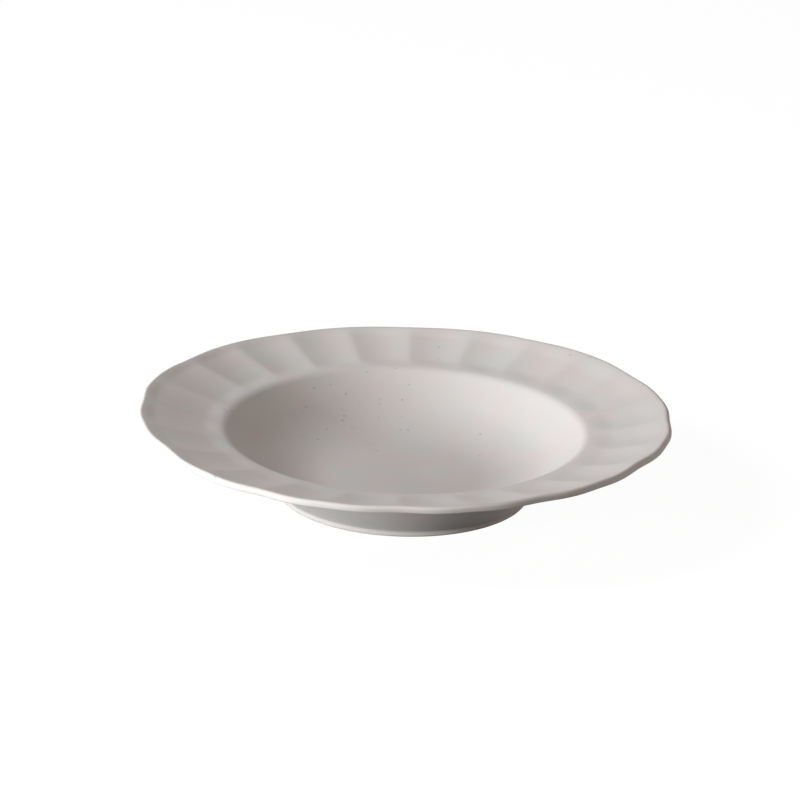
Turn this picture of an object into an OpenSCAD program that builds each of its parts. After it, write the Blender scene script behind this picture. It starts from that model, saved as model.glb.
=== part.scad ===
// Rimmed soup plate in matt glazed stoneware.
// A round well stands on a low, dry foot ring, and a wide rim pressed into
// flutes runs out to a thin, lobed lip. The plate is one fired clay body
// with a coat of glaze over it, and a separate patch of glaze under the base.
// Millimetres, +Z up. The origin is the middle of the face it stands on.

/* [Plate] */
// Diameter over the lip, halfway between its lobes and its notches
plate_d = 230; // [220:1:250]
// Height of the lip above the table
plate_h = 37.5; // [34:0.5:41]

/* [Well] */
// Diameter at the crown of the rounded edge round the well
well_d = 163; // [155:1:171]
// Diameter of the flat floor of the well
floor_d = 64; // [56:1:72]
// Slope of the wall of the well, in degrees
wall_slope = 39; // [36:0.5:43]
// Radius of the rounded edge between the well and the rim
edge_round = 8; // [6:0.5:9]
// Thickness of the floor, glaze included
floor_t = 4.2; // [3.4:0.1:5.4]
// Thickness of the wall of the well, square to it, glaze included
wall_t = 4.8; // [4:0.1:5.6]

/* [Rim] */
// Rise of the rim from the edge of the well to the lip
rim_rise = 8; // [7:0.25:9]
// Slope of the rim where it leaves the edge of the well, in degrees
rim_start_slope = 11; // [8:0.5:13]
// Thickness of the rim beside the edge of the well, glaze included
rim_t = 4.4; // [3.8:0.1:5.2]
// Thickness of the lip, glaze included
lip_t = 2.8; // [2.6:0.1:3.4]
// Radius of the rounded upper corner of the lip
lip_round = 1.5; // [1:0.1:1.9]
// Radius of the lower corner of the lip
lip_low_round = 0.7; // [0.7:0.05:0.9]
// Radius of the hollow underneath, where the wall turns into the rim
knuckle_round = 12; // [8:0.5:14]

/* [Flutes] */
// Number of flutes round the rim, two to each lobe of the lip
flute_n = 24; // [16:2:32]
// Depth of a flute below the arrises on either side of it
flute_depth = 0.8; // [0.4:0.1:1.4]
// Depth of a flute where it runs out over the lip
flute_lip_depth = 0.2; // [0:0.1:0.6]
// How far the lip is drawn in at the notches between the lobes
lobe_depth = 1; // [0:0.1:2]
// How far the lip is drawn in at every arris
arris_nick = 0.5; // [0:0.1:1]

/* [Foot] */
// Diameter over the bottom of the foot ring
foot_d = 109; // [102:1:114]
// Width of the foot ring
foot_w = 4.2; // [3.2:0.1:5.6]
// Height of the foot ring, from the table to the glaze inside it
foot_h = 2.6; // [2:0.1:3.4]
// Lean of the outside of the ring towards its neck, in degrees
foot_lean = 20; // [10:1:30]
// Height of the part that leans, between the bare clay and the neck
lean_h = 0.4; // [0.3:0.1:0.8]
// Radius of the rounded edges the ring stands between
foot_round = 0.5; // [0.3:0.1:0.6]
// Radius of the hollow between the neck of the ring and the wall
neck_round = 1.6; // [1:0.1:2.4]

/* [Glaze] */
// Thickness of the coat of glaze
glaze_t = 0.35; // [0.2:0.05:0.6]
// Height of the foot ring that is wiped bare of glaze before firing
bare_h = 0.7; // [0.7:0.1:1.2]
// Bare clay left round the patch of glaze inside the foot ring
bare_gap = 1.2; // [0.6:0.1:2]

/* [Hidden] */
// Radii of the plate
plate_r = plate_d / 2;
well_r = well_d / 2;
floor_r = floor_d / 2;
foot_r = foot_d / 2;

// Heights of the plate
floor_z = foot_h + floor_t;
edge_z = plate_h - rim_rise;

// Middles of the round stretches of the section, as [radius, height]
edge_c = [well_r, edge_z - edge_round];
lip_c = [plate_r - lip_round, plate_h - lip_round];
lip_low_c = [plate_r - lip_low_round, plate_h - lip_t + lip_low_round];

// The curve between floor and wall has the radius at which a wall of the
// chosen slope touches both that curve and the rounded edge
well_run = edge_c[0] - floor_r;
well_drop = edge_c[1] - floor_z;
bowl_round = (well_run * sin(wall_slope) - well_drop * cos(wall_slope)
    - edge_round) / (1 - cos(wall_slope));
bowl_c = [floor_r, floor_z + bowl_round];

// The neck and the knuckle are the hollows at the foot and at the head of the
// outside of the wall, which runs straight from one to the other
knuckle_z = edge_z - rim_t - knuckle_round;
knuckle_c = [edge_c[0] + (wall_t + knuckle_round - edge_round
    + (knuckle_z - edge_c[1]) * cos(wall_slope)) / sin(wall_slope), knuckle_z];
neck_c = [foot_r - lean_h * tan(foot_lean) + neck_round * cos(foot_lean),
    bare_h + lean_h + neck_round * sin(foot_lean)];
outside_way = knuckle_c - neck_c;
outside_slope = atan2(outside_way[1], outside_way[0])
    + asin((knuckle_round - neck_round) / norm(outside_way));

// The underside of the rim touches the knuckle and the underside of the lip
under_way = lip_low_c - knuckle_c;
under_slope = atan2(under_way[1], under_way[0])
    - asin((knuckle_round + lip_low_round) / norm(under_way));
under_dir = [cos(under_slope), sin(under_slope)];
under_up = [-sin(under_slope), cos(under_slope)];

// The top of the rim touches the rounded edge where it starts, is a hollow
// curve over the first share of its width and runs on straight to the lip
rim_curve_share = 0.62;
rim_start = edge_c + edge_round * [-sin(rim_start_slope), cos(rim_start_slope)];
start_grade = tan(rim_start_slope);
// The rim is made to start this far below the edge and past the knuckle, so
// that it crosses them at a plain angle, at twice the way to that crossing
lap = 0.08;
lap_run = sqrt(2 * knuckle_round * lap);
mean_grade = (plate_h - rim_start[1] + lap) / (lip_c[0] - rim_start[0]);
rim_slope = atan((mean_grade - start_grade * rim_curve_share / 2)
    / (1 - rim_curve_share / 2));
rim_run = lip_c[0] - lip_round * sin(rim_slope) - rim_start[0];
rim_lift = lip_c[1] + lip_round * cos(rim_slope) - rim_start[1] + lap;
rim_curve = (rim_lift - start_grade * rim_run)
    / (rim_curve_share * (2 - rim_curve_share));

// Shares of the rim's width over which the flutes deepen and shallow
flute_in_share = 0.22;
flute_out_share = 0.15;

// Facets
bowl_n = 20;
edge_n = 12;
knuckle_n = 8;
neck_n = 6;
round_n = 5;
lip_n = 5;
lip_low_n = 3;
rim_n = 9;
per_flute = 4;
column_n = flute_n * per_flute;
$fn = 96;

// Points on an arc about c, from angle a to angle b
function arc(c, r, a, b, n) =
    [for (i = [0:n]) c + r * [cos(a + (b - a) * i / n), sin(a + (b - a) * i / n)]];

// An easy step from 0 to 1
function ease(x) = x <= 0 ? 0 : x >= 1 ? 1 : x * x * (3 - 2 * x);

// Height of the top of the rim above its start, at share s of its width
function rim_up(s) = start_grade * rim_run * s + rim_curve * (s < rim_curve_share
    ? s * s : rim_curve_share * (2 * s - rim_curve_share));

// Depth of a flute at share s of the rim's width, and across it at angle a
function flute_at(s) = ease(s / flute_in_share) * (flute_depth
    - (flute_depth - flute_lip_depth) * ease((s - 1 + flute_out_share) / flute_out_share));
function across(a) = let (u = a * flute_n / 360 - floor(a * flute_n / 360))
    1 - (2 * u - 1) * (2 * u - 1);

// How far the lip stands out past its mean radius at angle a
function lobe(a) = -(lobe_depth * cos(a * flute_n / 2) + arris_nick * cos(a * flute_n)) / 2;

// Section of the rim at angle a, set in by t from the surface of the glaze,
// as a closed loop of [radius, height]
function rim_section(a, t) = let (
    c = lip_c + [lobe(a), -flute_lip_depth * across(a)]
) concat(
    [for (i = [0:rim_n]) let (s = i / (rim_n + 1)) [
        rim_start[0] + s * rim_run + lobe(a) * s * s,
        rim_start[1] - lap + rim_up(s) - flute_at(s) * across(a) - t
    ]],
    arc(c, lip_round - t, 90 + rim_slope, 0, lip_n),
    arc(c + lip_low_c - lip_c, lip_low_round - t, 0, under_slope - 90, lip_low_n),
    [knuckle_c + (knuckle_round + t - lap) * under_up - 2 * lap_run * under_dir]
);

// The fluted rim as one loft, set in by t
module rim(t) {
    loops = [for (j = [0:column_n - 1]) rim_section(360 * j / column_n, t)];
    m = len(loops[0]);
    points = [for (j = [0:column_n - 1], p = loops[j]) let (a = 360 * j / column_n)
        [p[0] * cos(a), p[0] * sin(a), p[1]]];
    at = function (j, i) (j % column_n) * m + i % m;
    faces = [for (j = [0:column_n - 1], i = [0:m - 1]) each [
        [at(j, i), at(j + 1, i), at(j + 1, i + 1)],
        [at(j, i), at(j + 1, i + 1), at(j, i + 1)]
    ]];
    polyhedron(points, faces);
}

// Section of the well from the middle of its floor out into the rim, and
// back along the outside of the wall and the neck to the bare clay, set in by t
function well_section(t) = concat(
    [[0, floor_z - t]],
    arc(bowl_c, bowl_round + t, -90, wall_slope - 90, bowl_n),
    arc(edge_c, edge_round - t, 90 + wall_slope, 90 - wall_slope / 2, edge_n),
    arc(knuckle_c, knuckle_round + t, 90 + under_slope, 90 + outside_slope, knuckle_n),
    arc(neck_c, neck_round + t, 90 + outside_slope, 180 + foot_lean, neck_n),
    [[foot_r - t / cos(foot_lean), bare_h]]
);

// Section of the bare foot ring, and the base inside it
function foot_section(t) = concat(
    [[foot_r, bare_h]],
    arc([foot_r - foot_round, foot_round], foot_round, 0, -90, round_n),
    arc([foot_r - foot_w + foot_round, foot_round], foot_round, -90, -180, round_n),
    [[foot_r - foot_w, foot_h + t], [0, foot_h + t]]
);

// Stoneware body, bare on the foot ring
module clay_body() {
    color([0.80, 0.76, 0.70])
    union() {
        rotate_extrude() polygon(concat(well_section(glaze_t), foot_section(glaze_t)));
        rim(glaze_t);
    }
}

// Glaze over the well, the rim, the lip and the outside down to the neck
module glaze_coat() {
    core_r = foot_r - foot_w / 2;
    core_z = (floor_z + foot_h) / 2;
    color([0.70, 0.67, 0.65])
    difference() {
        union() {
            rotate_extrude() polygon(concat(well_section(0),
                [[core_r, bare_h], [core_r, core_z], [0, core_z]]));
            rim(0);
        }
        rotate_extrude() polygon(concat(well_section(glaze_t), foot_section(glaze_t)));
        rim(glaze_t);
    }
}

// Patch of glaze on the base, inside the foot ring
module recess_glaze() {
    color([0.70, 0.67, 0.65])
    translate([0, 0, foot_h])
        cylinder(r = foot_r - foot_w - bare_gap, h = glaze_t);
}

clay_body();
glaze_coat();
recess_glaze();
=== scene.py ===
# %% [markdown]
# # Rimmed soup plate in matt glazed stoneware
# A round well for the soup stands on a low foot ring, and a wide rim runs out from it to a thin lip.
# The rim is pressed into 24 shallow flutes. They meet in soft ridges, called arrises. The lip is drawn
# in at each of them, at every second one more, so that the outline has 12 lobes.
# The plate is one body of fired clay with a coat of glaze over it and a patch of glaze under the base.
# Each of these is one piece here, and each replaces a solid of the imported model.

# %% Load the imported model
import math

import bpy
import numpy as np
from mathutils import Matrix, Vector


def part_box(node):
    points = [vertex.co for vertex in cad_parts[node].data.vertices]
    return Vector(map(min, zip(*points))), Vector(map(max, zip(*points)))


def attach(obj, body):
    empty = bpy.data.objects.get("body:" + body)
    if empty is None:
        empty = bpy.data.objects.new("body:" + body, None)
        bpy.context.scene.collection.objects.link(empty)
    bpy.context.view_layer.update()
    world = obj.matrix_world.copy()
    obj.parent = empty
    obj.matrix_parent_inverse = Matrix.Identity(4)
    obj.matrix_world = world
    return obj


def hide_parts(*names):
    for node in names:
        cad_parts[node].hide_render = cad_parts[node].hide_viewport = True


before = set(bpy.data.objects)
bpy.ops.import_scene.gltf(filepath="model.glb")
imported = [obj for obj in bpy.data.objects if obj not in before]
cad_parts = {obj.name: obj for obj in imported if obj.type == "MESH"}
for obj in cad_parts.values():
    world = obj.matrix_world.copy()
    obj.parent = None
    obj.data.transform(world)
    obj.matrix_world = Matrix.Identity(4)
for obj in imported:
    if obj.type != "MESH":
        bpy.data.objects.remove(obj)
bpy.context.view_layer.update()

for name in sorted(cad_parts):
    low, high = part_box(name)
    print(name, "reaches from", [round(c, 4) for c in low], "to", [round(c, 4) for c in high])

# %% [markdown]
# ## The camera
# The photograph was taken with a long lens, from about 20 degrees above the table.
# A camera can be placed by eye, or worked out from curves whose true shape is known: the circles of the
# lip, of the edge of the well and of the foot. That is more exact, and gives height, distance and lens
# at once. The picture is rolled a little, and the plate is turned a little to one arris.

# %% Place the camera
PICTURE_PX = 800
FOCAL_PX = 3466.3
SENSOR = 36.0
ELEVATION = math.radians(19.74)
ROLL = math.radians(1.65)
TURN = math.radians(0.9)
DISTANCE = 1.495
AIM = Vector((-0.00247, 0.0, 0.04163))

ahead = Vector((0.0, math.cos(ELEVATION), -math.sin(ELEVATION)))
level = Vector((1.0, 0.0, 0.0))
upright = level.cross(ahead)
axes = (
    level * math.cos(ROLL) + upright * math.sin(ROLL),
    upright * math.cos(ROLL) - level * math.sin(ROLL),
    -ahead,
)
stand = Matrix(axes).transposed().to_4x4()
stand.translation = AIM - ahead * DISTANCE

camera_data = bpy.data.cameras.new("photo_camera")
camera_data.sensor_width = SENSOR
camera_data.lens = FOCAL_PX * SENSOR / PICTURE_PX
camera = bpy.data.objects.new("photo_camera", camera_data)
bpy.context.scene.collection.objects.link(camera)
camera.matrix_world = Matrix.Rotation(TURN, 4, "Z") @ stand
bpy.context.scene.camera = camera
print("lens", round(camera_data.lens, 1), "mm, camera", round(stand.translation.z, 3), "m up")

# %% [markdown]
# ## The sizes
# Everything follows from a few sizes, in metres. The glaze is set on the clay, so each surface is made
# twice: once as the outside of the glaze, and once set in by its thickness as the outside of the clay.

# %% Name the sizes
MM = 0.001
PLATE_R, PLATE_H = 115 * MM, 37.5 * MM
WELL_R, FLOOR_R = 81.5 * MM, 32 * MM
WALL_SLOPE = 39.0
EDGE_ROUND = 8 * MM
FLOOR_T, WALL_T = 4.2 * MM, 4.8 * MM
RIM_RISE, RIM_T, RIM_START = 8 * MM, 4.4 * MM, 11.0
LIP_T, LIP_ROUND, LIP_LOW_ROUND = 2.8 * MM, 1.5 * MM, 0.7 * MM
KNUCKLE_ROUND = 12 * MM
FOOT_R, FOOT_W, FOOT_H = 54.5 * MM, 4.2 * MM, 2.6 * MM
FOOT_LEAN, LEAN_H, FOOT_ROUND = 20.0, 0.4 * MM, 0.5 * MM
NECK_ROUND = 1.6 * MM
GLAZE_T, BARE_H, BARE_GAP = 0.35 * MM, 0.7 * MM, 1.2 * MM

floor_z = FOOT_H + FLOOR_T
edge_z = PLATE_H - RIM_RISE
print("the plate is", round(2 * PLATE_R / MM), "mm across and", round(PLATE_H / MM, 1), "mm high")

# %% [markdown]
# ## The section
# A potter shapes such a plate against a profile, so its section is the natural place to start.
# It is a chain of arcs joined by straight stretches that touch them: floor, bowl, wall, rounded edge,
# rim, lip, underside, knuckle, outer wall and neck. One arc's middle follows from its neighbours, so
# that no joint between two stretches shows as a crease.

# %% Find the middles of the arcs
def cos(degrees):
    return math.cos(math.radians(degrees))


def sin(degrees):
    return math.sin(math.radians(degrees))


edge_c = (WELL_R, edge_z - EDGE_ROUND)
lip_c = (PLATE_R - LIP_ROUND, PLATE_H - LIP_ROUND)
lip_low = (PLATE_R - LIP_LOW_ROUND, PLATE_H - LIP_T + LIP_LOW_ROUND)

well_run, well_drop = edge_c[0] - FLOOR_R, edge_c[1] - floor_z
bowl_gap = well_run * sin(WALL_SLOPE) - well_drop * cos(WALL_SLOPE) - EDGE_ROUND
bowl_round = bowl_gap / (1 - cos(WALL_SLOPE))
bowl_c = (FLOOR_R, floor_z + bowl_round)

knuckle_z = edge_z - RIM_T - KNUCKLE_ROUND
knuckle_gap = WALL_T + KNUCKLE_ROUND - EDGE_ROUND + (knuckle_z - edge_c[1]) * cos(WALL_SLOPE)
knuckle_c = (edge_c[0] + knuckle_gap / sin(WALL_SLOPE), knuckle_z)
neck_c = (
    FOOT_R - LEAN_H * math.tan(math.radians(FOOT_LEAN)) + NECK_ROUND * cos(FOOT_LEAN),
    BARE_H + LEAN_H + NECK_ROUND * sin(FOOT_LEAN),
)


def touching_slope(low, high, grow):
    """Slope, in degrees, of the line that touches two circles whose radii differ by grow."""
    run, rise = high[0] - low[0], high[1] - low[1]
    return math.degrees(math.atan2(rise, run) + math.asin(grow / math.hypot(run, rise)))


outside_slope = touching_slope(neck_c, knuckle_c, KNUCKLE_ROUND - NECK_ROUND)
under_slope = touching_slope(knuckle_c, lip_low, -KNUCKLE_ROUND - LIP_LOW_ROUND)
print("the outer wall slopes", round(outside_slope, 1), "degrees")
print("the underside of the rim slopes", round(under_slope, 1), "degrees")

# %% [markdown]
# ## The flutes
# Each flute is a shallow scoop between two arrises. It starts a little way out from the edge of the
# well, is deepest over the middle of the rim and fades where it runs over the lip. The scoop is a
# parabola. Glaze rounds the arris where two of them meet, so the parabola's corner is blunted here too.
# On the real plate the flutes are crisp at the back left and run out softly at the front right, where
# more glaze lies in their ends. So both ends are lengthened by a share that grows towards that side.

# %% Say how the rim rises and how deep a flute is
FLUTE_N = 24
FLUTE_DEPTH, FLUTE_LIP_DEPTH = 0.8 * MM, 0.2 * MM
FLUTE_IN, FLUTE_OUT = 0.22, 0.15
SOFTER_IN, SOFTER_OUT, SOFTER_TURN = 0.14, 0.28, -30.0
LOBE_DEPTH, ARRIS_NICK = 1.0 * MM, 0.5 * MM
ARRIS_BLUNT = 0.08
RIM_CURVE = 0.62

rim_start = (edge_c[0] - EDGE_ROUND * sin(RIM_START), edge_c[1] + EDGE_ROUND * cos(RIM_START))
start_grade = math.tan(math.radians(RIM_START))
mean_grade = (PLATE_H - rim_start[1]) / (lip_c[0] - rim_start[0])
rim_slope = math.degrees(math.atan((mean_grade - start_grade * RIM_CURVE / 2) / (1 - RIM_CURVE / 2)))
rim_run = lip_c[0] - LIP_ROUND * sin(rim_slope) - rim_start[0]
rim_lift = lip_c[1] + LIP_ROUND * cos(rim_slope) - rim_start[1]


def ease(share):
    """An easy step from 0 to 1."""
    share = np.clip(share, 0, 1)
    return share * share * (3 - 2 * share)


def rim_up(share):
    """Height of the rim above its start, at a share of its width. It is a hollow curve, then straight."""
    bend = np.minimum(share, RIM_CURVE)
    hollow = (bend * bend + 2 * RIM_CURVE * (share - bend)) / (RIM_CURVE * (2 - RIM_CURVE))
    return start_grade * rim_run * share + (rim_lift - start_grade * rim_run) * hollow


def flute_along(share, angle):
    """Depth of a flute at a share of the rim's width, with softer ends on one side of the plate."""
    softer = (1 + np.cos(angle - math.radians(SOFTER_TURN))) / 2
    way_in = FLUTE_IN + SOFTER_IN * softer
    way_out = FLUTE_OUT + SOFTER_OUT * softer
    fade = ease((share - 1 + way_out) / way_out)
    return ease(share / way_in) * (FLUTE_DEPTH - (FLUTE_DEPTH - FLUTE_LIP_DEPTH) * fade)


def flute_across(angle):
    """Share of its full depth that a flute has at an angle: 1 in the middle and least on an arris."""
    from_arris = np.abs((angle * FLUTE_N / (2 * np.pi) + 0.5) % 1 - 0.5)
    blunt = np.sqrt(from_arris**2 + ARRIS_BLUNT**2)
    return 4 * blunt - 4 * blunt**2


def lobe(angle):
    """How far the lip stands out past its mean radius."""
    return -(LOBE_DEPTH * np.cos(angle * FLUTE_N / 2) + ARRIS_NICK * np.cos(angle * FLUTE_N)) / 2


print("the rim slopes", round(rim_slope, 1), "degrees to the lip")
print("its flutes are", FLUTE_DEPTH / MM, "mm deep")

# %% [markdown]
# ## From section to surface
# A Screw modifier could turn the section like a lathe, but the rim isn't round. So the section is worked
# out afresh for each of a few hundred angles, and the points of neighbouring sections are joined. The
# angles stand closer together at the arrises, where the surface turns quickly.

# %% Choose the angles
BUNCHING = 0.75
FINE_PER_FLUTE, PLAIN_PER_FLUTE = 16, 8


def section_angles(per_flute):
    """Angles of the sections, bunched towards the arrises."""
    share = np.arange(per_flute) / per_flute
    share = share - BUNCHING * np.sin(2 * np.pi * share) / (2 * np.pi)
    return np.concatenate([(flute + share) * 2 * np.pi / FLUTE_N for flute in range(FLUTE_N)])


fine_angles, plain_angles = section_angles(FINE_PER_FLUTE), section_angles(PLAIN_PER_FLUTE)
print(len(fine_angles), "sections for the glaze and", len(plain_angles), "for the clay")

# %% [markdown]
# ## The stretches
# A section is kept as a list of stretches. Each stretch is a pair of grids, one of radii and one of
# heights, with a row for each point. A stretch that is the same all round has a single column, and one
# on the rim has a column for each angle, because the flutes and lobes change it.

# %% Draw one stretch
def point(radius, height):
    """A stretch of one point, where a corner or an end is."""
    return np.full((1, 1), radius), np.full((1, 1), height)


def arc(centre, radius, start, end, steps):
    """Points round a centre from one direction to another, in degrees."""
    turn = np.radians(np.linspace(start, end, steps + 1))[:, None]
    return centre[0] + radius * np.cos(turn), centre[1] + radius * np.sin(turn)


def joined(first, second, steps):
    """Points on the straight line from the end of one stretch to the start of the next, both left out."""
    share = (np.arange(1, steps) / steps)[:, None]
    return tuple(before[-1] + (after[0] - before[-1]) * share for before, after in zip(first, second))


def grids(stretches, angles):
    """All stretches as one grid of radii and one of heights: a row a point and a column an angle."""
    rows = [np.broadcast_arrays(radius, height, angles[None, :])[:2] for radius, height in stretches]
    return [np.concatenate(grid) for grid in zip(*rows)]


print("an arc of 4 steps has", len(arc((0.0, 0.0), 1.0, 0, 90, 4)[0]), "points")


# %% Draw the plate from the middle of its well, over the lip and back to its neck
FLOOR_STEPS, BOWL_STEPS, WALL_STEPS, EDGE_STEPS, RIM_STEPS = 5, 10, 3, 6, 17
LIP_STEPS, SIDE_STEPS, LIP_LOW_STEPS = 6, 1, 3
UNDER_STEPS, KNUCKLE_STEPS, OUTSIDE_STEPS, NECK_STEPS = 5, 4, 4, 4
FINE, PLAIN = 2, 1


def upper_part(angles, set_in, detail):
    """The section set in from the outside of the glaze. More detail gives more points."""
    middle = point(0.0, floor_z - set_in)
    bowl = arc(bowl_c, bowl_round + set_in, -90, WALL_SLOPE - 90, BOWL_STEPS * detail)
    edge = arc(edge_c, EDGE_ROUND - set_in, 90 + WALL_SLOPE, 90 + RIM_START, EDGE_STEPS * detail)
    share = np.linspace(0, 1, RIM_STEPS * detail + 1)[1:-1, None]
    rim = (
        rim_start[0] + share * rim_run + lobe(angles) * share**2,
        rim_start[1] + rim_up(share) - flute_along(share, angles) * flute_across(angles) - set_in,
    )
    out, sunk = lobe(angles), FLUTE_LIP_DEPTH * flute_across(angles)
    top_c = (lip_c[0] + out, lip_c[1] - sunk)
    lip_top = arc(top_c, LIP_ROUND - set_in, 90 + rim_slope, 0, LIP_STEPS * detail)
    low_c = (lip_low[0] + out, lip_low[1] - sunk)
    lip_under = arc(low_c, LIP_LOW_ROUND - set_in, 0, under_slope - 90, LIP_LOW_STEPS * detail)
    knuckle_r, neck_r = KNUCKLE_ROUND + set_in, NECK_ROUND + set_in
    knuckle = arc(knuckle_c, knuckle_r, 90 + under_slope, 90 + outside_slope, KNUCKLE_STEPS * detail)
    neck = arc(neck_c, neck_r, 90 + outside_slope, 180 + FOOT_LEAN, NECK_STEPS * detail)
    return [
        middle,
        joined(middle, bowl, FLOOR_STEPS),
        bowl,
        joined(bowl, edge, WALL_STEPS * detail),
        edge,
        rim,
        lip_top,
        joined(lip_top, lip_under, SIDE_STEPS * detail),
        lip_under,
        joined(lip_under, knuckle, UNDER_STEPS * detail),
        knuckle,
        joined(knuckle, neck, OUTSIDE_STEPS * detail),
        neck,
        point(FOOT_R - set_in / cos(FOOT_LEAN), BARE_H),
    ]


outside = upper_part(fine_angles, 0.0, FINE)
radii, heights = grids(outside, fine_angles)
print("a section of the glaze has", len(radii), "points")
print("the lip reaches", round(radii.max() / MM, 2), "mm out and", round(heights.max() / MM, 2), "mm up")

# %% [markdown]
# ## From sections to a mesh
# The rim of a plate that was made by hand isn't quite level: this one rises and dips by up to nearly a
# millimetre, in three slow waves. The warp is added when the points are placed, so that clay and glaze
# share it. A small attribute goes with every point. It says how thin the glaze is there, because a
# glaze draws back from a crest as it melts, and the finish reads it later.

# %% Join the sections
SAG_DEPTH, SAG_TURN = 0.42 * MM, 19.0
BEND_DEPTH, BEND_TURN = 0.48 * MM, 171.0
RIPPLE_DEPTH, RIPPLE_TURN = 0.19 * MM, 114.0
THIN_SPREAD, THIN_FALL = 0.9 * MM, 4
SHARP_ANGLE = math.radians(50)


def warp(angle, radius):
    """How far the rim stands above or below its place, nothing at the well and most at the lip."""
    wave = SAG_DEPTH * np.cos(2 * angle + math.radians(SAG_TURN))
    wave = wave + BEND_DEPTH * np.cos(3 * angle + math.radians(BEND_TURN))
    wave = wave + RIPPLE_DEPTH * np.cos(5 * angle + math.radians(RIPPLE_TURN))
    return wave * ease((radius - WELL_R) / (PLATE_R - WELL_R))


def thin_glaze(radius, height, angle):
    """How thin the glaze is: 1 on the crest of the lip, less on the arrises and nothing between them."""
    crest = np.hypot(radius - lip_c[0] - lobe(angle), height - PLATE_H)
    depth = flute_along((radius - rim_start[0]) / rim_run, angle)
    arris = (1 - flute_across(angle)) * depth / FLUTE_DEPTH
    return np.maximum(np.exp(-((crest / THIN_SPREAD) ** 2)), arris**THIN_FALL)


def plate_mesh(name, stretches, angles):
    """A closed surface through sections that start and end in a point on the axis."""
    radius, height = grids(stretches, angles)
    rows, columns = radius.shape
    thin = thin_glaze(radius, height, angles)
    height = height + warp(angles, radius)
    points = np.stack([radius * np.cos(angles), radius * np.sin(angles), height], axis=-1)
    body = 1 + np.arange((rows - 2) * columns).reshape(rows - 2, columns)
    beside = np.roll(body, -1, axis=1)
    top, bottom = 0, body[-1, -1] + 1
    quads = np.stack([body[:-1], body[1:], beside[1:], beside[:-1]], axis=-1).reshape(-1, 4)
    inner = [(top, a, b) for a, b in zip(body[0], beside[0])]
    outer = [(a, bottom, b) for a, b in zip(body[-1], beside[-1])]
    places = [points[0, 0], *points[1:-1].reshape(-1, 3), points[-1, 0]]
    mesh = bpy.data.meshes.new(name)
    mesh.from_pydata(places, [], inner + quads.tolist() + outer)
    mesh.shade_smooth()
    mesh.set_sharp_from_angle(angle=SHARP_ANGLE)
    layer = mesh.attributes.new("thin_glaze", "FLOAT", "POINT")
    layer.data.foreach_set("value", [thin[0, 0], *thin[1:-1].ravel(), thin[-1, 0]])
    piece = bpy.data.objects.new(name, mesh)
    bpy.context.scene.collection.objects.link(piece)
    print(name, "has", len(mesh.polygons), "faces")
    return piece


# %% [markdown]
# ## The coat of glaze
# The glaze runs from the middle of the well out over the lip, under the rim and down the wall to the
# neck of the foot ring, where it was wiped off before firing. It is a closed shell: the section goes
# down its outside, round its end and back up along the clay.

# %% Make the coat of glaze
inside = upper_part(fine_angles, GLAZE_T, PLAIN)
back_up = [(radius[::-1], height[::-1]) for radius, height in reversed(inside)]
glaze_coat = plate_mesh("matt_glaze_coat", outside + back_up, fine_angles)

# %% [markdown]
# ## The clay body
# Under the glaze the clay has the same form, set in by the glaze's thickness. It shows only on the
# foot ring, a narrow bead with rounded edges, and in the gap round the patch of glaze inside it.

# %% Make the clay body
RING_STEPS, BASE_STEPS = 8, 12

ledge = point(FOOT_R, BARE_H)
ring_outside = arc((FOOT_R - FOOT_ROUND, FOOT_ROUND), FOOT_ROUND, 0, -90, RING_STEPS)
ring_inside = arc((FOOT_R - FOOT_W + FOOT_ROUND, FOOT_ROUND), FOOT_ROUND, -90, -180, RING_STEPS)
recess_edge = point(FOOT_R - FOOT_W, FOOT_H + GLAZE_T)
base_middle = point(0.0, FOOT_H + GLAZE_T)
base = joined(recess_edge, base_middle, BASE_STEPS)
foot = [ledge, ring_outside, ring_inside, recess_edge, base, base_middle]
clay_body = plate_mesh("stoneware_body", upper_part(plain_angles, GLAZE_T, PLAIN) + foot, plain_angles)

# %% [markdown]
# ## The glaze under the base
# A thin disc of glaze lies inside the foot ring. The brush that put it on stopped short of the ring,
# and melted glaze pulls itself into a low, rounded edge. So the disc is drawn as a section too, and
# not as a plain cylinder.

# %% Make the patch of glaze
PATCH_EDGE_STEPS = 6

patch_r = FOOT_R - FOOT_W - BARE_GAP
patch_edge = arc((patch_r - GLAZE_T, FOOT_H + GLAZE_T), GLAZE_T, 0, -90, PATCH_EDGE_STEPS)
patch_bottom = point(0.0, FOOT_H)
patch = [
    base_middle,
    joined(base_middle, patch_edge, BASE_STEPS),
    patch_edge,
    joined(patch_edge, patch_bottom, BASE_STEPS),
    patch_bottom,
]
base_glaze = plate_mesh("base_glaze_patch", patch, plain_angles)

# %% Put each piece in its place in the model
for piece, node, finish in (
    (glaze_coat, "glaze_coat", "matt_glaze"),
    (clay_body, "clay_body", "stoneware"),
    (base_glaze, "recess_glaze", "base_glaze"),
):
    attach(piece, "root")
    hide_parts(node)
    low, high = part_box(node)
    print(piece.name, "measures", [round(size / MM, 2) for size in piece.dimensions], "mm")
    print("its solid measures", [round(size / MM, 2) for size in high - low], "mm")

# %% [markdown]
# ## Shared effects
# Three effects are used by more than one finish, so each is a node group: a colour that drifts a
# little, small dark specks where iron in the clay bleeds through, and the fine tooth of a matt surface.
# All of them read the object's own coordinates, so they stay put on the plate and need no unwrapping.

# %% Helpers for node trees
FLOAT, COLOUR, VECTOR = "NodeSocketFloat", "NodeSocketColor", "NodeSocketVector"
MIX_FIRST, MIX_SECOND, MIX_RESULT = 6, 7, 2


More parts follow.
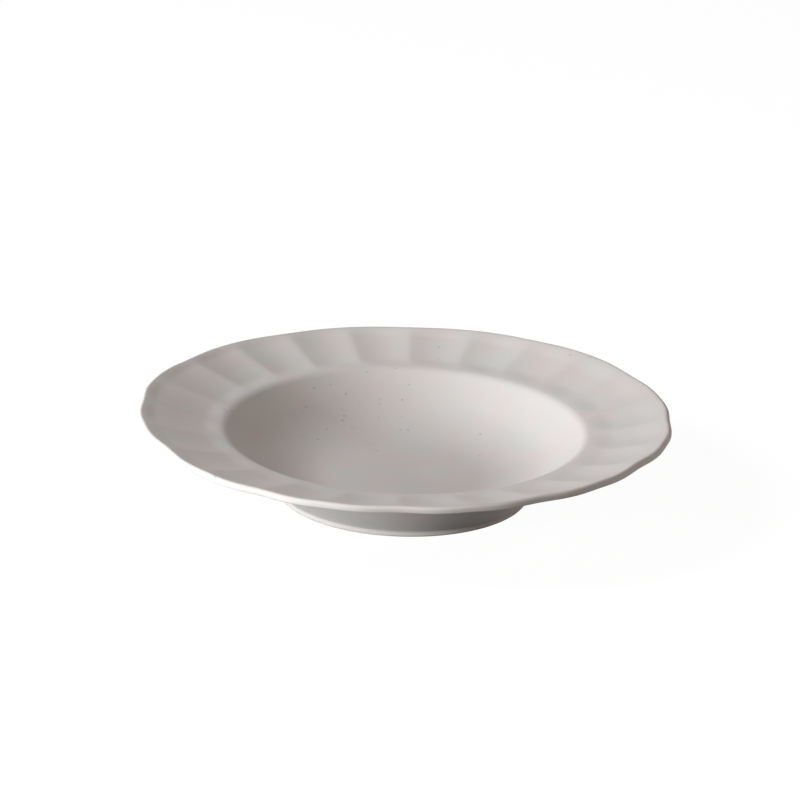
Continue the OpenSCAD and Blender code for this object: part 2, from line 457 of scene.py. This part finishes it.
def group_tree(name, inputs, outputs):
    """A new node group. Each input has a name, a kind and a value, and each output a name and a kind."""
    tree = bpy.data.node_groups.new(name, "ShaderNodeTree")
    for label, kind, value in inputs:
        socket = tree.interface.new_socket(label, in_out="INPUT", socket_type=kind)
        socket.default_value = value
    for label, kind in outputs:
        tree.interface.new_socket(label, in_out="OUTPUT", socket_type=kind)
    return tree, tree.nodes.new("NodeGroupInput").outputs, tree.nodes.new("NodeGroupOutput").inputs


def add_node(tree, kind, links=None, **settings):
    """A node with its settings, and its inputs set to a value or linked to another node's output."""
    made = tree.nodes.new(kind)
    for key, value in settings.items():
        setattr(made, key, value)
    for key, value in (links or {}).items():
        if isinstance(value, bpy.types.NodeSocket):
            tree.links.new(value, made.inputs[key])
        else:
            made.inputs[key].default_value = value
    return made


def maths(tree, operation, first, second):
    """The result of one sum."""
    return add_node(tree, "ShaderNodeMath", {0: first, 1: second}, operation=operation).outputs[0]


def mixed(tree, factor, first, second):
    """Two colours mixed by a factor. A Mix node's colour sockets are known by their numbers."""
    links = {"Factor": factor, MIX_FIRST: first, MIX_SECOND: second}
    return add_node(tree, "ShaderNodeMix", links, data_type="RGBA").outputs[MIX_RESULT]


print("helpers for node trees ready")


# %% Group: a colour that drifts
DRIFT_DETAIL, DRIFT_FROM, DRIFT_FULL = 2.0, 0.4, 0.7
COOL_SHIFT = (0.31, 0.17, 0.23)


def make_drift():
    """Two slow patterns of noise, one towards a warm and one towards a cool tone."""
    tree, given, result = group_tree(
        "drifting_colour",
        [
            ("Colour", COLOUR, (0.5, 0.5, 0.5, 1)),
            ("Warm Colour", COLOUR, (0.5, 0.45, 0.42, 1)),
            ("Cool Colour", COLOUR, (0.45, 0.5, 0.48, 1)),
            ("Size", FLOAT, 20 * MM),
            ("Amount", FLOAT, 0.5),
        ],
        [("Colour", COLOUR)],
    )
    place = add_node(tree, "ShaderNodeTexCoord").outputs["Object"]
    moved = add_node(tree, "ShaderNodeVectorMath", {0: place, 1: COOL_SHIFT}, operation="ADD").outputs[0]
    scale = maths(tree, "DIVIDE", 1.0, given["Size"])
    tone = given["Colour"]
    for start, drifted in ((place, given["Warm Colour"]), (moved, given["Cool Colour"])):
        links = {"Vector": start, "Scale": scale, "Detail": DRIFT_DETAIL}
        noise = add_node(tree, "ShaderNodeTexNoise", links).outputs["Fac"]
        links = {"Value": noise, "From Min": DRIFT_FROM, "From Max": DRIFT_FULL}
        share = add_node(tree, "ShaderNodeMapRange", links, clamp=True).outputs[0]
        tone = mixed(tree, maths(tree, "MULTIPLY", share, given["Amount"]), tone, drifted)
    tree.links.new(tone, result["Colour"])
    return tree


drift = make_drift()
print(drift.name, "takes", [s.name for s in drift.interface.items_tree if s.in_out == "INPUT"])


# %% Group: iron specks
LEAST_SPECK, SPECK_CORE = 0.5, 0.5


def make_specks():
    """Round specks in some of the cells that space is parted into, and in more of them near a place.

    A speck reaches half to one and a half times its size from its middle, and its outer half is soft.
    """
    tree, given, result = group_tree(
        "iron_specks",
        [
            ("Spacing", FLOAT, 6 * MM),
            ("Speck Size", FLOAT, 0.4 * MM),
            ("Share", FLOAT, 0.2),
            ("Gathered Share", FLOAT, 0.0),
            ("Gathering Place", VECTOR, (0.0, 0.0, 0.0)),
            ("Gathering Size", FLOAT, 20 * MM),
            ("Strength", FLOAT, 0.5),
        ],
        [("Mask", FLOAT)],
    )
    place = add_node(tree, "ShaderNodeTexCoord").outputs["Object"]
    scale = maths(tree, "DIVIDE", 1.0, given["Spacing"])
    links = {"Vector": place, "Scale": scale}
    cells = add_node(tree, "ShaderNodeTexVoronoi", links, feature="F1").outputs
    chance = add_node(tree, "ShaderNodeSeparateColor", {"Color": cells["Color"]}).outputs
    distance = maths(tree, "MULTIPLY", cells["Distance"], given["Spacing"])
    reach = maths(tree, "MULTIPLY", given["Speck Size"], maths(tree, "ADD", chance[1], LEAST_SPECK))
    core = maths(tree, "MULTIPLY", reach, SPECK_CORE)
    links = {"Value": distance, "From Min": core, "From Max": reach, "To Min": 1.0, "To Max": 0.0}
    disc = add_node(tree, "ShaderNodeMapRange", links, clamp=True).outputs[0]
    links = {0: cells["Position"], 1: given["Gathering Place"]}
    away = add_node(tree, "ShaderNodeVectorMath", links, operation="DISTANCE").outputs["Value"]
    far = maths(tree, "DIVIDE", away, given["Gathering Size"])
    near = maths(tree, "MAXIMUM", 0.0, maths(tree, "SUBTRACT", 1.0, far))
    share = maths(tree, "ADD", given["Share"], maths(tree, "MULTIPLY", near, given["Gathered Share"]))
    picked = maths(tree, "LESS_THAN", chance[0], share)
    mask = maths(tree, "MULTIPLY", maths(tree, "MULTIPLY", disc, picked), given["Strength"])
    tree.links.new(mask, result["Mask"])
    return tree


specks = make_specks()
print(specks.name, "takes", [s.name for s in specks.interface.items_tree if s.in_out == "INPUT"])


# %% Group: the tooth of a matt surface
GRAIN_DETAIL, SWELL_DETAIL = 3.0, 1.0


def make_tooth():
    """A fine grain and a slow swell, added up to one height in metres."""
    tree, given, result = group_tree(
        "matt_tooth",
        [
            ("Grain Size", FLOAT, 0.5 * MM),
            ("Grain Height", FLOAT, 0.01 * MM),
            ("Swell Size", FLOAT, 8 * MM),
            ("Swell Height", FLOAT, 0.03 * MM),
        ],
        [("Height", FLOAT)],
    )
    place = add_node(tree, "ShaderNodeTexCoord").outputs["Object"]
    heights = []
    for part, detail in (("Grain", GRAIN_DETAIL), ("Swell", SWELL_DETAIL)):
        scale = maths(tree, "DIVIDE", 1.0, given[part + " Size"])
        links = {"Vector": place, "Scale": scale, "Detail": detail}
        noise = add_node(tree, "ShaderNodeTexNoise", links).outputs["Fac"]
        heights.append(maths(tree, "MULTIPLY", noise, given[part + " Height"]))
    tree.links.new(maths(tree, "ADD", *heights), result["Height"])
    return tree


tooth = make_tooth()
print(tooth.name, "takes", [s.name for s in tooth.interface.items_tree if s.in_out == "INPUT"])

# %% [markdown]
# ## The finishes
# The glaze is a dry, matt grey with a little warmth in it. It scatters light evenly and hardly shines.
# Where it is thin, on the crest of the lip and the arrises, the browner clay shows through a little.
# The bare foot is rougher and has more grain. The glaze under the base is the same one as the coat's.


# %% Helpers for materials
def new_finish(name, roughness, shine):
    """A material, its node tree and its shader."""
    material = bpy.data.materials.new(name)
    material.use_nodes = True
    tree = material.node_tree
    shader = tree.nodes["Principled BSDF"]
    shader.inputs["Roughness"].default_value = roughness
    shader.inputs["Specular IOR Level"].default_value = shine
    return material, tree, shader


def shared(tree, group, **values):
    """A shared effect placed in a material, with its own values. An underscore stands for a space."""
    made = add_node(tree, "ShaderNodeGroup", node_tree=group)
    for label, value in values.items():
        made.inputs[label.replace("_", " ")].default_value = value
    return made.outputs[0]


def bump_from(tree, shader, height):
    """Bends the shader's normal by a height in metres."""
    bump = add_node(tree, "ShaderNodeBump", {"Strength": 1.0, "Distance": 1.0, "Height": height})
    tree.links.new(bump.outputs["Normal"], shader.inputs["Normal"])


print("helpers for materials ready")


# %% The glazes
GLAZE_GREY = (0.588, 0.569, 0.556, 1)
GLAZE_WARM = (0.614, 0.546, 0.534, 1)
GLAZE_COOL = (0.566, 0.568, 0.548, 1)
THIN_BROWN = (0.42, 0.37, 0.34, 1)
SPECK_GREY = (0.16, 0.15, 0.14, 1)
SPECK_PLACE = (-26 * MM, 56 * MM, 17 * MM)
GLAZE_SHINE = 0.12


def glaze(name, roughness, thin_share, speck_share):
    """The matt grey glaze. thin_share says how much of the clay shows where it is thin."""
    material, tree, shader = new_finish(name, roughness, GLAZE_SHINE)
    tone = shared(
        tree,
        drift,
        Colour=GLAZE_GREY,
        Warm_Colour=GLAZE_WARM,
        Cool_Colour=GLAZE_COOL,
        Size=18 * MM,
        Amount=0.9,
    )
    thin = add_node(tree, "ShaderNodeAttribute", attribute_name="thin_glaze").outputs["Fac"]
    broken = mixed(tree, maths(tree, "MULTIPLY", thin, thin_share), tone, THIN_BROWN)
    dots = shared(
        tree,
        specks,
        Spacing=3.3 * MM,
        Speck_Size=0.6 * MM,
        Share=speck_share,
        Gathered_Share=0.9,
        Gathering_Place=SPECK_PLACE,
        Gathering_Size=38 * MM,
        Strength=0.36,
    )
    tree.links.new(mixed(tree, dots, broken, SPECK_GREY), shader.inputs["Base Color"])
    relief = shared(
        tree,
        tooth,
        Grain_Size=0.6 * MM,
        Grain_Height=0.006 * MM,
        Swell_Size=9 * MM,
        Swell_Height=0.02 * MM,
    )
    bump_from(tree, shader, relief)
    return material


glaze_coat.data.materials.append(glaze("matt_glaze", roughness=0.62, thin_share=0.3, speck_share=0.012))
base_glaze.data.materials.append(glaze("base_glaze", roughness=0.58, thin_share=0.0, speck_share=0.015))
print("glazes ready")


# %% The bare clay
CLAY_BUFF = (0.50, 0.46, 0.42, 1)
CLAY_WARM = (0.50, 0.43, 0.37, 1)
CLAY_PALE = (0.55, 0.53, 0.50, 1)
CLAY_SPECK = (0.2, 0.16, 0.13, 1)


def bare_clay():
    """Fired stoneware without glaze: warmer, rougher and more speckled."""
    material, tree, shader = new_finish("stoneware", roughness=0.85, shine=0.2)
    tone = shared(
        tree,
        drift,
        Colour=CLAY_BUFF,
        Warm_Colour=CLAY_WARM,
        Cool_Colour=CLAY_PALE,
        Size=6 * MM,
        Amount=0.8,
    )
    dots = shared(tree, specks, Spacing=2.2 * MM, Speck_Size=0.3 * MM, Share=0.3, Strength=0.7)
    tree.links.new(mixed(tree, dots, tone, CLAY_SPECK), shader.inputs["Base Color"])
    relief = shared(
        tree,
        tooth,
        Grain_Size=0.5 * MM,
        Grain_Height=0.03 * MM,
        Swell_Size=6 * MM,
        Swell_Height=0.03 * MM,
    )
    bump_from(tree, shader, relief)
    return material


clay_body.data.materials.append(bare_clay())
print("bare clay ready")

# %% [markdown]
# ## Table and light
# The photograph has a white ground with no edge. The table here is a plain pale sheet that looks white
# to the camera but keeps the plate's soft shadow. Most light comes from a low window at the front left,
# which draws the flutes. A higher one further left lights the floor of the well. A weak, warm light
# from the right stands for a wall, which keeps the lip and the shaded side of the well from going black.

# %% Make the table
TABLE_SIDE = 12.0
TABLE_PALE = (0.22, 0.22, 0.22, 1)
TABLE_WHITE = 0.96
SHADOW_SHARE = 0.08
WHITE = (1, 1, 1, 1)


def seen_directly(tree, otherwise, seen):
    """One shader for what the camera sees, also by gloss and through glass, and another for the rest."""
    path = add_node(tree, "ShaderNodeLightPath").outputs
    direct = maths(tree, "MAXIMUM", path["Is Camera Ray"], path["Is Glossy Ray"])
    direct = maths(tree, "MAXIMUM", direct, path["Is Transmission Ray"])
    return add_node(tree, "ShaderNodeMixShader", {0: direct, 1: otherwise, 2: seen}).outputs[0]


def table_finish():
    """Pale cloth for the light that bounces, and nearly white for the camera, with a share for shadow."""
    material = bpy.data.materials.new("table")
    material.use_nodes = True
    tree = material.node_tree
    tree.nodes.remove(tree.nodes["Principled BSDF"])
    pale = add_node(tree, "ShaderNodeBsdfDiffuse", {"Color": TABLE_PALE})
    shaded = (SHADOW_SHARE, SHADOW_SHARE, SHADOW_SHARE, 1)
    faint = add_node(tree, "ShaderNodeBsdfDiffuse", {"Color": shaded})
    glow = add_node(tree, "ShaderNodeEmission", {"Color": WHITE, "Strength": TABLE_WHITE})
    seen = add_node(tree, "ShaderNodeAddShader", {0: faint.outputs[0], 1: glow.outputs[0]})
    surface = seen_directly(tree, pale.outputs[0], seen.outputs[0])
    tree.links.new(surface, tree.nodes["Material Output"].inputs["Surface"])
    return material


half = TABLE_SIDE / 2
corners = [(-half, -half, 0), (half, -half, 0), (half, half, 0), (-half, half, 0)]
table_mesh = bpy.data.meshes.new("table")
table_mesh.from_pydata(corners, [], [(0, 1, 2, 3)])
table_mesh.materials.append(table_finish())
table = bpy.data.objects.new("table", table_mesh)
bpy.context.scene.collection.objects.link(table)
print("the table is", TABLE_SIDE, "m on a side")

# %% Light the room
FILL_COLOUR, FILL_STRENGTH = (1.0, 0.85, 0.75, 1), 0.008

world = bpy.data.worlds.new("room")
bpy.context.scene.world = world
world.use_nodes = True
room = world.node_tree
fill = room.nodes["Background"]
fill.inputs["Color"].default_value = FILL_COLOUR
fill.inputs["Strength"].default_value = FILL_STRENGTH
white = add_node(room, "ShaderNodeBackground", {"Color": WHITE, "Strength": 1.0})
backdrop = seen_directly(room, fill.outputs[0], white.outputs[0])
room.links.new(backdrop, room.nodes["World Output"].inputs["Surface"])
print("the fill from all round has a strength of", FILL_STRENGTH)

# %% Hang the lights
LIGHT_FAR = 1.6


def hang_light(name, turn, up, size, power, colour):
    """A square light that looks at the plate.

    turn is its direction in degrees, from the left round to the front, and up is how high it stands.
    """
    lamp = bpy.data.lights.new(name, "AREA")
    lamp.shape, lamp.size, lamp.energy, lamp.color = "SQUARE", size, power, colour
    light = bpy.data.objects.new(name, lamp)
    bpy.context.scene.collection.objects.link(light)
    towards = Vector((-cos(up) * cos(turn), -cos(up) * sin(turn), sin(up)))
    light.location = towards * LIGHT_FAR
    light.rotation_euler = towards.to_track_quat("Z", "Y").to_euler()
    print(name, "hangs at", [round(c, 2) for c in light.location])


hang_light("low_window", turn=34, up=8, size=0.45, power=30.0, colour=(1.0, 1.0, 1.0))
hang_light("high_window", turn=7, up=36, size=0.55, power=23.0, colour=(0.985, 0.98, 0.995))
hang_light("warm_wall", turn=168, up=26, size=0.8, power=8.5, colour=(1.0, 0.89, 0.80))

# %% Set the view and finish
bpy.context.scene.view_settings.view_transform = "Standard"
bpy.context.view_layer.update()
